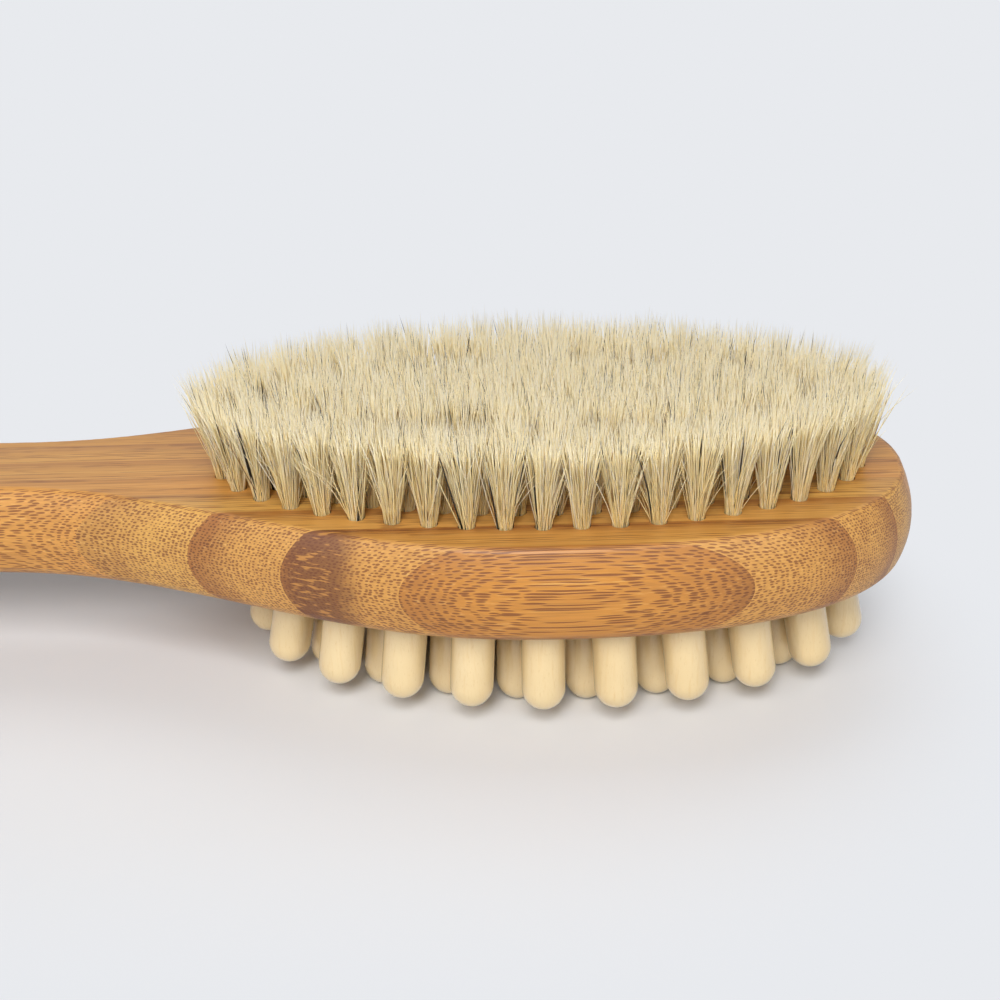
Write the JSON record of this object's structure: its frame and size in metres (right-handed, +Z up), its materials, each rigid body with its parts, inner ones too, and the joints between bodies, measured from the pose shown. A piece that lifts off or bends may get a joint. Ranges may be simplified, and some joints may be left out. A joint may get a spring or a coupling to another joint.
{
  "type": "body brush",
  "caption": "Long-handled double-sided body brush: bamboo board with boar bristles above and round-ended wooden massage pegs below.",
  "frame": {"origin": "middle of the length and of the width, on the plane of the lowest peg tips", "axes": "+X along the brush towards the head, +Y across it, +Z up through the bristles"},
  "size_m": [0.38, 0.074, 0.0579],
  "materials": {
    "bamboo": "laminated carbonised bamboo, thin satin lacquer",
    "bristle": "bleached natural boar bristle with a few dark hairs",
    "anchor_steel": "plain flat steel anchor wire",
    "peg_wood": "pale hardwood under gloss lacquer"
  },
  "bodies": {
    "root": {"bamboo_strip_1": "bamboo", "bamboo_strip_10": "bamboo", "bamboo_strip_11": "bamboo", "bamboo_strip_2": "bamboo", "bamboo_strip_3": "bamboo", "bamboo_strip_4": "bamboo", "bamboo_strip_5": "bamboo", "bamboo_strip_6": "bamboo", "bamboo_strip_7": "bamboo", "bamboo_strip_8": "bamboo", "bamboo_strip_9": "bamboo", "bamboo_strip_9_handle": "bamboo", "bristle_tufts_field": "bristle", "bristle_tufts_outer_ring": "bristle", "bristle_tufts_second_ring": "bristle", "massage_pegs_centre": "peg_wood", "massage_pegs_inner": "peg_wood", "massage_pegs_middle": "peg_wood", "massage_pegs_outer": "peg_wood", "tuft_anchors_field": "anchor_steel", "tuft_anchors_outer_ring": "anchor_steel", "tuft_anchors_second_ring": "anchor_steel"}
  },
  "joints": []
}
